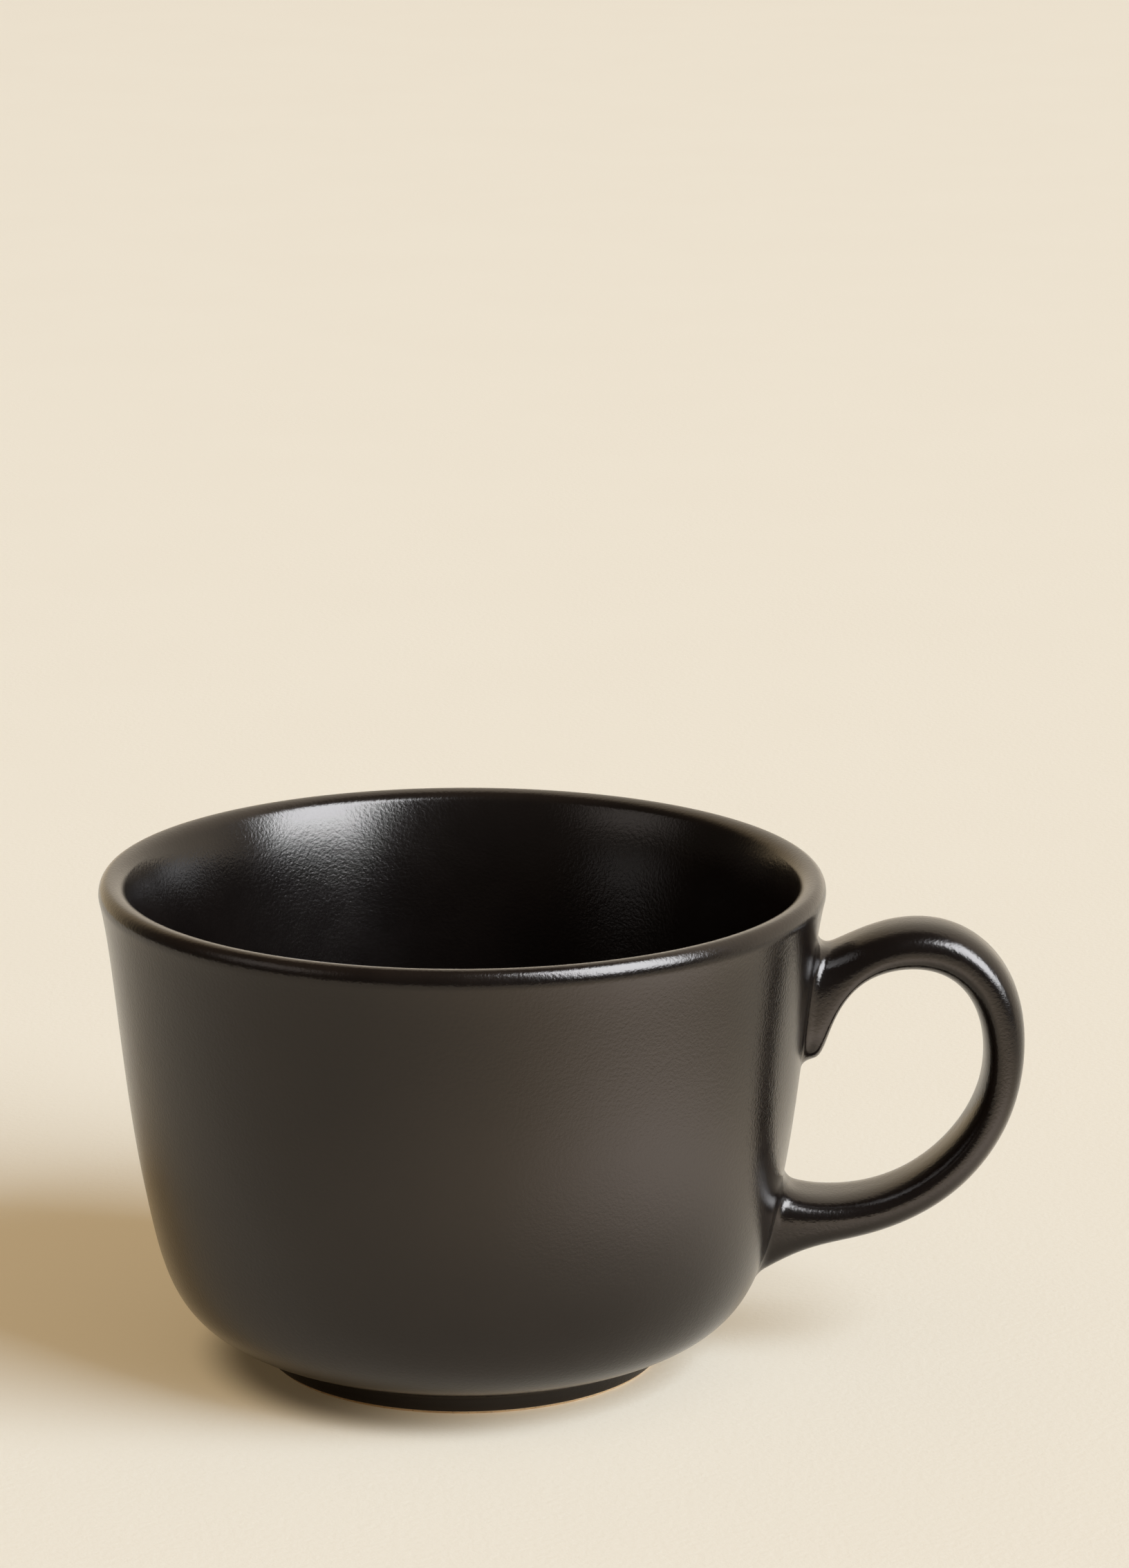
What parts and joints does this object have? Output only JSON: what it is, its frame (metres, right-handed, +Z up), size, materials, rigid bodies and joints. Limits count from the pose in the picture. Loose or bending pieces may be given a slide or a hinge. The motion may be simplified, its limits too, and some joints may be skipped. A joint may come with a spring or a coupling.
{
  "type": "breakfast cup",
  "caption": "Wide stoneware breakfast cup with a rounded lip, a loop handle set on with slip, a satin black glaze and a bare clay foot ring.",
  "frame": {"origin": "centre of the foot ring's flat face, on the surface that the cup stands on", "axes": "+Z up along the bowl's axis, +X from the axis towards the handle"},
  "size_m": [0.1405, 0.11, 0.0756],
  "materials": {
    "clay": "matte",
    "slip": "matte",
    "black_glaze": "satin"
  },
  "bodies": {
    "root": {"cup_body": "clay", "handle": "clay", "upper_slip_joint": "slip", "lower_slip_joint": "slip", "outer_glaze": "black_glaze", "inner_glaze": "black_glaze", "handle_glaze": "black_glaze", "base_glaze": "black_glaze"}
  },
  "joints": []
}
